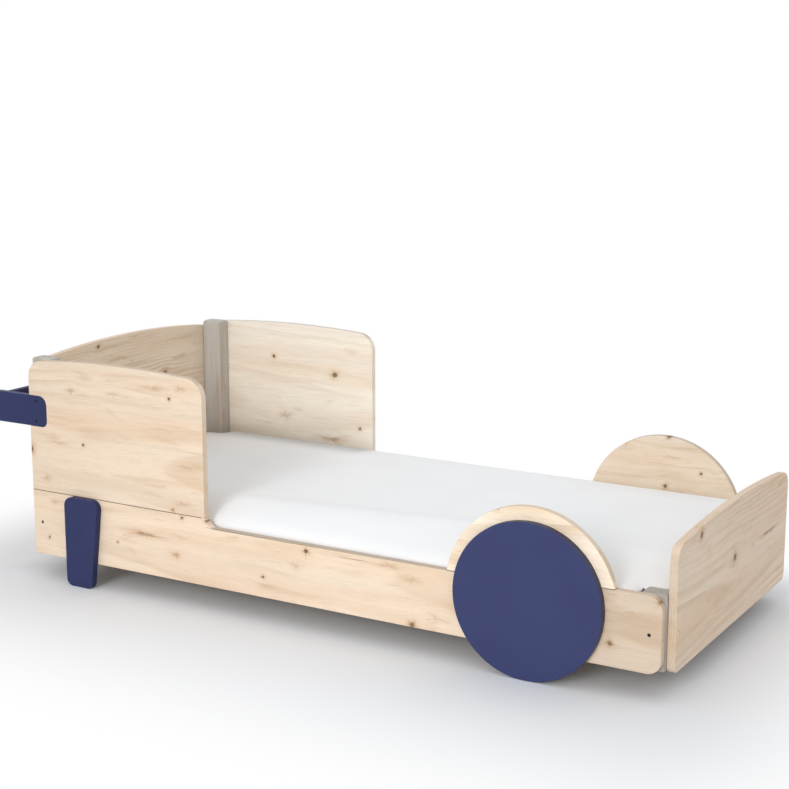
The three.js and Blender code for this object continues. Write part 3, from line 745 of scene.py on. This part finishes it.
class BED_OT_side_boards(Operator):
    """Makes the side rails, guard panels and wheel arches in pine"""

    bl_idname = "bed.side_boards"
    bl_label = "Side Boards"

    def execute(self, context):
        radius = settings("bed_boards").edge_radius
        at_guard, at_arch = contact_tests()
        arch_low, arch_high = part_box("wheel_arch_left")

        def on_any_seam(point):
            return at_guard(point) or at_arch(point)

        guard_low, guard_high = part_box("guard_panel_left")
        wheel_x = sum(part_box("wheel_disc_left"), Vector()).x / 2
        # Where painted shade lines run in the seams' gaps: height, start and end along the bed
        seam_shade_lines = (
            (guard_low.z, guard_low.x, guard_high.x - 0.012),
            (arch_low.z, arch_low.x, wheel_x),
            (guard_low.z, wheel_x, arch_high.x),
        )
        faces = (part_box("side_rail_right")[0].y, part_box("side_rail_right")[1].y)
        guard_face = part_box("guard_panel_right")[1].y
        # The rail's top edge in the entry, which gets painted shade where the mattress shades it
        entry_top_shade = (arch_low.z, guard_high.x + 0.004, arch_low.x)

        def wood(part, side, start, **choices):
            """Pine for a part of one side, its grain mirrored on the other"""
            name = f"{part}_{side}"
            along, across, through = start
            start = (along * SIDE_SIGN[side], across, through * SIDE_SIGN[side])
            return pine_material(
                f"pine_{part}_{side}", "XZY", start, KNOTS[name], TINTS_AND_PAINTED_LIGHT.get(name), seam_shade_lines=seam_shade_lines, **choices
            )

        for side in SIDES:
            fade, guard_contrast = ((0.88, 0.96, 0.83), 1.0) if side == "left" else (None, 0.75)
            rail = wood("rail", side, (0.7, -0.19, 0.35), fade=fade, top=entry_top_shade)
            # On the far guard the tint stops short of the outer face, so its painted light lies on the
            # inner face alone
            guard = wood(
                "guard", side, (3.1, -0.41, 0.40), tint_end=guard_face,
                edge=(*faces, guard_high.x - 0.012, 0.78), contrast=guard_contrast
            )
            arch = wood("arch", side, (5.3, -0.33, 0.38), edge=(*faces, arch_high.x, 0.8), contrast=1.5)
            cuts = (arch_low.x, arch_high.x)
            board(f"side_rail_{side}", rail, radius, on_any_seam, cuts)
            board(f"guard_panel_{side}", guard, radius, at_guard, lift=at_guard)
            board(f"wheel_arch_{side}", arch, radius, at_arch, lift=at_arch)
        return {"FINISHED"}


class BED_OT_end_boards(Operator):
    """Makes the headboard and the footboard in pine"""

    bl_idname = "bed.end_boards"
    bl_label = "End Boards"

    def execute(self, context):
        radius = settings("bed_boards").edge_radius
        places = {"headboard": (1.3, -0.30, 1.35), "footboard": (4.4, -0.20, -0.80)}
        for name, start in places.items():
            contrast = 1.8 if name == "headboard" else 1.25
            low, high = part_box(name)
            edge = (low.x, high.x, low.y + 0.012, 0.88) if name == "footboard" else None
            material = pine_material(
                f"pine_{name}", "YZX", start, KNOTS[name], TINTS_AND_PAINTED_LIGHT.get(name), edge=edge, contrast=contrast
            )
            board(name, material, radius)
        return {"FINISHED"}


class BED_OT_posts(Operator):
    """Makes the four corner posts, with softened chamfers"""

    bl_idname = "bed.posts"
    bl_label = "Corner Posts"

    def execute(self, context):
        boards = settings("bed_boards")
        for number, (end, side) in enumerate((end, side) for end in ENDS for side in SIDES):
            start = (0.9 * number, 0.55 + 0.3 * number, 0.2 + 0.4 * number)
            tone = boards.head_tone if end == "head" else boards.foot_tone
            material = pine_material(f"pine_post_{end}_{side}", "ZXY", start, tint=tone, contrast=1.6)
            board(
                f"{end}_post_{side}", material, boards.post_edge, sharpness=CHAMFER_CORNER,
                segments=2, ending="wood"
            )
        return {"FINISHED"}


class BED_OT_painted_parts(Operator):
    """Makes the wheel discs, legs and push handle in navy paint"""

    bl_idname = "bed.painted_parts"
    bl_label = "Painted Parts"

    def execute(self, context):
        radius = settings("bed_paint").edge_radius
        disc_paint = paint_material("navy_paint_discs", 1.0, 0.19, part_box("wheel_disc_right")[1].y)
        small_paint = paint_material("navy_paint_small_parts", settings("bed_paint").small_share, 0.1)
        for side in SIDES:
            board(f"wheel_disc_{side}", disc_paint, radius)
            board(f"leg_{side}", small_paint, radius)
            board(f"handle_arm_{side}", small_paint, radius / 2)
        board(
            "handle_crossbar", small_paint, radius / 2, sharpness=CHAMFER_CORNER,
            ending="painted"
        )
        return {"FINISHED"}


class BED_OT_slatted_base(Operator):
    """Finishes the ledgers and slats, and the webbing tapes under the slats"""

    bl_idname = "bed.slatted_base"
    bl_label = "Slatted Base"

    def execute(self, context):
        slat = pine_material("pine_slats", "YXZ", (0.0, 0.45, 0.3))
        ledger = pine_material("pine_ledgers", "XYZ", (0.4, 0.9, 0.2))
        tape = weave_material("webbing_weave", (0.62, 0.58, 0.50), 0.0016, 0.00025, 0.2)
        finishes = {"slat_ledger": ledger, "slat_tape": tape}
        for node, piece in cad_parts.items():
            if node.startswith("slat_"):
                repaint(piece, finishes.get(node.rsplit("_", 1)[0], slat))
        return {"FINISHED"}


# Mattress


def swollen(piece, frames, pressure):
    """Runs a cloth simulation that fills the piece from within, and applies its result"""
    scene = bpy.context.scene
    cloth = piece.modifiers.new("Filled cover", "CLOTH")
    fabric = cloth.settings
    fabric.quality = 5
    fabric.mass = 0.3
    fabric.tension_stiffness = 15
    fabric.compression_stiffness = 15
    fabric.bending_stiffness = 2.0
    fabric.use_pressure = True
    fabric.uniform_pressure_force = pressure
    fabric.effector_weights.gravity = 0.0
    cloth.collision_settings.use_collision = False
    for number in range(1, frames + 1):
        scene.frame_set(number)
    select_only(piece)
    bpy.ops.object.modifier_apply(modifier=cloth.name)
    scene.frame_set(1)


def gentle(value, start, end):
    """Goes smoothly from 0 at the start to 1 at the end"""
    share = min(max((value - start) / (end - start), 0.0), 1.0)
    return share * share * (3.0 - 2.0 * share)


def sat_edge(form):
    """How far the cover rises or sinks at a point of the entry that a child climbs in by: its edge
    rolls down in front of a low ridge, which runs a little askew"""
    low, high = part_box("mattress")
    start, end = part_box("guard_panel_left")[1].x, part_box("wheel_arch_left")[0].x
    ridge_start, ridge_end = low.y + 0.138, low.y + 0.243
    ridge_width, fade, roundness, slope_share = 0.05, 0.07, 1.4, 0.76
    middle = (low.z + high.z) / 2

    def rise(point):
        share = (point.x - start) / (end - start)
        crest = ridge_start + (ridge_end - ridge_start) * share
        down = max(crest - point.y, 0.0) / (crest - low.y)
        past_arch = gentle(point.x, end - fade, end + fade)
        window = gentle(point.x, start - 0.17, start - 0.06) * (1.0 - past_arch)
        height = form.ridge * gentle(point.y, crest + ridge_width, crest) - form.roll * down ** roundness
        down_foot = max(ridge_end - point.y, 0.0) / (ridge_end - low.y)
        slope = -form.foot_slope * min(down_foot / slope_share, 1.0)
        return (height * window + slope * past_arch) * gentle(point.z, middle, high.z)

    return rise


def post_corners(form):
    """Where the posts' inner corners stand, the signs that point from them into the posts, and the
    room that the cover leaves there along and across the bed"""
    corners = []
    for end, x_sign in zip(ENDS, (-1, 1)):
        for side, y_sign in SIDE_SIGN.items():
            low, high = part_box(f"{end}_post_{side}")
            x = high.x if x_sign < 0 else low.x
            y = high.y if y_sign < 0 else low.y
            along = form.post_gap if end == "head" else form.slot
            corners.append((x, y, x_sign, y_sign, along, form.post_gap))
    return corners


def clear_of_posts(point, corners, more=0.0):
    """The point, moved out of the room that each corner post needs"""
    moved = point.copy()
    for x, y, x_sign, y_sign, along, across in corners:
        into_x = (point.x - x) * x_sign + along + more
        into_y = (point.y - y) * y_sign + across + more
        if into_x > 0.0 and into_y > 0.0:
            if into_x < into_y:
                moved.x = x - x_sign * (along + more)
            else:
                moved.y = y - y_sign * (across + more)
    return moved


class BED_OT_mattress(Operator):
    """Makes the mattress: a filled cotton cover, notched round the posts, its near edge sat down"""

    bl_idname = "bed.mattress"
    bl_label = "Mattress"

    def execute(self, context):
        form = settings("bed_mattress")
        low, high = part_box("mattress")
        piece = merged_copy("mattress", "mattress_cover")
        modify(piece, "REMESH", mode="VOXEL", voxel_size=form.voxel)
        modify(piece, "DISPLACE", mid_level=0.0, strength=-form.slack)
        before = [vertex.co.copy() for vertex in piece.data.vertices]
        swollen(piece, form.frames, form.pressure)
        for vertex, start in zip(piece.data.vertices, before):
            step = vertex.co - start
            if step.length > form.swell:
                vertex.co = start + step * (form.swell / step.length)
        rise, corners, post_zone = sat_edge(form), post_corners(form), 0.014
        loose = piece.vertex_groups.new(name="Away from the posts")
        for vertex in piece.data.vertices:
            place = Vector(min(max(vertex.co[i], low[i]), high[i]) for i in range(3))
            place.z += rise(place)
            vertex.co = clear_of_posts(place, corners)
            if clear_of_posts(place, corners, post_zone) == place:
                loose.add([vertex.index], 1.0, "REPLACE")
        modify(piece, "SMOOTH", factor=0.5, iterations=4, vertex_group=loose.name)
        modify(piece, "SUBSURF", levels=1, render_levels=1)
        bpy.ops.object.shade_smooth()
        # Painted shade along the cover's far edge, up to the guards' end, where the far guard shades it
        shade = (high.y, 0.2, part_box("guard_panel_left")[1].x, 0.6)
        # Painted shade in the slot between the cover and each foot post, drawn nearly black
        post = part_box("foot_post_right")[0]
        slot = (post.x - form.slot, post.x + 0.004, post.y - form.post_gap, 0.09)
        material = weave_material("cotton_cover", form.cover, 0.0012, 0.00008, 0.12, shade, slot)
        dress(piece, "mattress", material)
        return {"FINISHED"}


# Fasteners


def headed_fastener(name, head_radius, head_height, shank_radius, shank_length, recess_radius, cross):
    """A bolt or screw along Z, its head's seat at the origin: the recess is bridged to the rim,
    then both are drawn down, the recess to its floor and the rim to the seat and the shank's tip"""
    details = settings("bed_fasteners")
    corners = 12 if cross else 6
    top = (0.0, 0.0, head_height)
    bpy.ops.object.select_all(action="DESELECT")
    bpy.ops.mesh.primitive_circle_add(vertices=24, radius=head_radius, location=top)
    piece = bpy.context.object
    piece.name = name
    bpy.ops.object.transform_apply()
    with editing(piece, "DESELECT"):
        bpy.ops.mesh.primitive_circle_add(vertices=corners, radius=recess_radius, location=top)
    for i, vertex in enumerate(piece.data.vertices[-corners:]):
        if cross and i % 3 == 0:
            vertex.co.x *= 0.45
            vertex.co.y *= 0.45
    with editing(piece):
        bpy.ops.mesh.bridge_edge_loops()
    extend_ring(piece, 0.0, recess_radius * 1.01, [(-details.recess_depth, 0.92)])
    steps = [
        (-details.rim, 1.0),
        (details.rim - head_height, 1.0),
        (0.0, shank_radius / head_radius),
        (-shank_length, 0.8),
    ]
    extend_ring(piece, head_radius * 0.99, math.inf, steps)
    with editing(piece):
        bpy.ops.mesh.normals_make_consistent(inside=False)
    bpy.ops.object.shade_smooth_by_angle(angle=SMOOTH_ANGLE)
    return piece


def extend_ring(piece, inner, outer, steps):
    """Extrudes the open ring that lies between two radii, step by step: how far up, and how much
    wider each time. Then it closes the ring"""
    mesh = piece.data
    with editing(piece, "DESELECT"):
        bpy.ops.mesh.select_mode(type="EDGE")
    sharers = Counter(key for polygon in mesh.polygons for key in polygon.edge_keys)
    for edge in mesh.edges:
        radii = [mesh.vertices[i].co.xy.length for i in edge.vertices]
        edge.select = sharers[edge.key] == 1 and inner <= min(radii) and max(radii) <= outer
    bpy.ops.object.mode_set(mode="EDIT")
    for rise, scale in steps:
        bpy.ops.mesh.extrude_region_move(TRANSFORM_OT_translate={"value": (0.0, 0.0, rise)})
        if scale != 1.0:
            bpy.ops.transform.resize(value=(scale, scale, 1.0))
    bpy.ops.mesh.edge_face_add()
    bpy.ops.object.mode_set(mode="OBJECT")


def place_copy(source, name, seat, outwards):
    """A copy of a fastener with its own mesh, its head pointing outwards from its seat"""
    piece = own_copy(source, name)
    turn = Vector((0.0, 0.0, 1.0)).rotation_difference(outwards).to_matrix().to_4x4()
    piece.data.transform(Matrix.Translation(seat) @ turn)
    return piece


def facing(node):
    """The direction in which a fastener's head points"""
    if node.startswith(("headboard", "footboard")):
        return Vector((-1.0 if node.startswith("head") else 1.0, 0.0, 0.0))
    side = SIDE_SIGN[node.split("_")[-1]]
    inwards = node.startswith(("leg_screw", "wheel_screw"))
    return Vector((0.0, -side if inwards else side, 0.0))


class BED_OT_fasteners(Operator):
    """Makes the bolts and screws with their recessed heads, and the footboard's cover caps"""

    bl_idname = "bed.fasteners"
    bl_label = "Fasteners"

    def execute(self, context):
        details = settings("bed_fasteners")
        steel = steel_material("burnished_steel")
        patterns = {}
        for node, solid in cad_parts.items():
            if "nut" in node:
                repaint(solid, steel)
            if "bolt" not in node and "screw" not in node:
                continue
            is_bolt = "rail_bolt" in node or "board_screw" in node
            low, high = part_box(node)
            outwards = facing(node)
            axis = max(range(3), key=lambda i: abs(outwards[i]))
            top = high[axis] if outwards[axis] > 0 else low[axis]
            head_height = BOLT_HEAD_HEIGHT if is_bolt else SCREW_HEAD_HEIGHT
            length = high[axis] - low[axis] - head_height
            key = (is_bolt, round(length, 5))
            if key not in patterns:
                across = sorted(high - low)[0] / 2
                patterns[key] = headed_fastener(
                    f"pattern_{len(patterns)}",
                    across,
                    head_height,
                    BOLT_SHANK_RADIUS if is_bolt else SCREW_SHANK_RADIUS,
                    length,
                    details.hex_radius if is_bolt else details.cross_radius,
                    not is_bolt,
                )
            seat = (low + high) / 2
            seat[axis] = top - outwards[axis] * head_height
            piece = place_copy(patterns[key], f"{node}_steel", seat, outwards)
            dress(piece, node, steel)
        for pattern in patterns.values():
            bpy.data.objects.remove(pattern)
        self.caps(details)
        return {"FINISHED"}

    def caps(self, details):
        """Pale, flat cover caps pressed over the footboard's two bolt holes"""
        face, half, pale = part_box("footboard")[1].x, 0.0007, (1.08, 1.08, 1.08)
        for side in SIDES:
            low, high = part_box(f"footboard_screw_{side}")
            y, z = (low.y + high.y) / 2, (low.z + high.z) / 2
            rim = (y - 0.0022, z, 0.0058)
            material = pine_material(f"pine_cap_{side}", "YZX", (2.0, 0.4, 0.3), tint=pale, rim=rim)
            bpy.ops.object.select_all(action="DESELECT")
            bpy.ops.mesh.primitive_cylinder_add(
                vertices=32,
                radius=details.cap_radius,
                depth=2 * half,
                location=(face + details.cap_proud - half, y, z),
                rotation=(0.0, math.radians(90), 0.0),
            )
            cap = bpy.context.object
            cap.name = f"footboard_cap_{side}"
            bpy.ops.object.transform_apply()
            modify(cap, "BEVEL", width=details.rim, segments=2, limit_method="ANGLE")
            bpy.ops.object.shade_smooth_by_angle(angle=SMOOTH_ANGLE)
            cap.data.materials.append(material)
            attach(cap, BODY)


# Stage


class BED_OT_stage(Operator):
    """Sets the camera, the lamp, the white surroundings and the floor"""

    bl_idname = "bed.stage"
    bl_label = "Stage"

    def execute(self, context):
        stage = settings("bed_stage")
        scene = context.scene
        scene.view_settings.view_transform = "Standard"
        bpy.ops.object.camera_add(location=stage.camera_place, rotation=stage.camera_turn)
        camera = context.object
        camera.name = "camera"
        camera.data.lens = stage.lens
        camera.data.sensor_width = 36.0
        camera.data.clip_end = 100.0
        scene.camera = camera
        self.surroundings(scene, stage)
        self.key_lamp(stage)
        self.floor(stage)
        return {"FINISHED"}

    def key_lamp(self, stage):
        """A wide soft beam on the near side, brightest in the entry"""
        direction = Vector(stage.key_aim) - Vector(stage.key_place)
        turn = direction.to_track_quat("-Z", "Y").to_euler()
        bpy.ops.object.light_add(type="SPOT", location=stage.key_place, rotation=turn)
        lamp = bpy.context.object
        lamp.name = "key_lamp"
        lamp.data.energy = stage.key_power
        lamp.data.spot_size = stage.key_spread
        lamp.data.spot_blend = 1.0
        lamp.data.shadow_soft_size = stage.key_radius

    def white_for_sight(self, web):
        """1 for rays that look at the background, straight or in a reflection"""
        paths = web.node("ShaderNodeLightPath").outputs
        seen = web.sum("MAXIMUM", paths["Is Camera Ray"], paths["Is Glossy Ray"])
        return web.sum("MAXIMUM", seen, paths["Is Transmission Ray"])

    def surroundings(self, scene, stage):
        """Even light from all round, which looks white to the camera and in reflections"""
        world = bpy.data.worlds.new("white_surroundings")
        world.use_nodes = True
        scene.world = world
        web = Web(world.node_tree)
        light = world.node_tree.nodes["Background"]
        web.fill(light, {"Color": stage.sky, "Strength": stage.sky_level})
        seen = web.node("ShaderNodeBackground", (1.0, 1.0, 1.0))
        share = self.white_for_sight(web)
        blend = web.node("ShaderNodeMixShader", share, light.outputs[0], seen.outputs[0])
        web.feed(world.node_tree.nodes["World Output"].inputs["Surface"], blend.outputs[0])

    def floor(self, stage):
        """A matt floor that keeps the bed's shadow, has a painted shadow under the bed, and turns white
        away from the bed
        """
        bpy.ops.mesh.primitive_plane_add(size=FLOOR_WIDTH, location=(0.0, 0.0, 0.0))
        floor = bpy.context.object
        floor.name = "floor"
        material, web, shader = new_material("pale_floor")
        # Painted shadow: the floor's colour darkens from the bed's outline to its full tone a little way
        # in under the bed
        shade_width = 0.16
        x, y, z = web.place()
        inner_y = web.minus(cad_high.y, web.sum("ABSOLUTE", y))
        inner_x = web.minus(cad_high.x, web.sum("ABSOLUTE", x))
        inner = web.sum("MINIMUM", inner_x, inner_y)
        tone = web.ramp(inner, 0.0, shade_width, 1.0, stage.under_bed_shadow)
        colour = web.shaded(stage.floor, tone)
        web.fill(shader, {"Base Color": colour, "Roughness": 1.0, "Specular IOR Level": 0.0})
        beside = web.sum("MAXIMUM", web.minus(web.sum("ABSOLUTE", x), cad_high.x), 0.0)
        beside = web.times(beside, stage.end_share)
        near_side = web.minus(web.times(y, -1.0), cad_high.y)
        far_side = web.times(web.minus(y, cad_high.y), stage.far_share)
        before = web.sum("MAXIMUM", web.sum("MAXIMUM", near_side, far_side), 0.0)
        squares = web.plus(web.times(beside, beside), web.times(before, before))
        far = web.ramp(web.sum("SQRT", squares), stage.white_start, stage.white_end)
        white = web.node("ShaderNodeEmission")
        share = web.times(far, self.white_for_sight(web))
        blend = web.node("ShaderNodeMixShader", share, shader.outputs[0], white.outputs[0])
        web.feed(material.node_tree.nodes["Material Output"].inputs["Surface"], blend.outputs[0])
        floor.data.materials.append(material)


# Sidebar and registration


class BED_PT_sidebar(Panel):
    """Lists the steps that dress the bed"""

    bl_idname = "BED_PT_sidebar"
    bl_label = "Floor Bed"
    bl_space_type = "VIEW_3D"
    bl_region_type = "UI"
    bl_category = "Floor Bed"

    def draw(self, context):
        for step in STEPS:
            self.layout.operator(step.bl_idname)
        for name in SETTINGS:
            group = getattr(context.scene, name)
            box = self.layout.box()
            for key in group.bl_rna.properties.keys():
                if key not in ("rna_type", "name"):
                    box.prop(group, key)


SETTINGS = {
    "bed_boards": BoardSettings,
    "bed_paint": PaintSettings,
    "bed_mattress": MattressSettings,
    "bed_fasteners": FastenerSettings,
    "bed_stage": StageSettings,
}
STEPS = (
    BED_OT_stage,
    BED_OT_side_boards,
    BED_OT_end_boards,
    BED_OT_posts,
    BED_OT_painted_parts,
    BED_OT_slatted_base,
    BED_OT_mattress,
    BED_OT_fasteners,
)


def register():
    for group in (*SETTINGS.values(), *STEPS, BED_PT_sidebar):
        bpy.utils.register_class(group)
    for name, group in SETTINGS.items():
        setattr(bpy.types.Scene, name, PointerProperty(type=group))


def unregister():
    for name in SETTINGS:
        delattr(bpy.types.Scene, name)
    for group in (BED_PT_sidebar, *reversed(STEPS), *reversed(SETTINGS.values())):
        bpy.utils.unregister_class(group)


def main():
    register()
    bpy.ops.bed.stage()
    bpy.ops.bed.side_boards()
    bpy.ops.bed.end_boards()
    bpy.ops.bed.posts()
    bpy.ops.bed.painted_parts()
    bpy.ops.bed.slatted_base()
    bpy.ops.bed.mattress()
    bpy.ops.bed.fasteners()


if __name__ == "__main__":
    main()
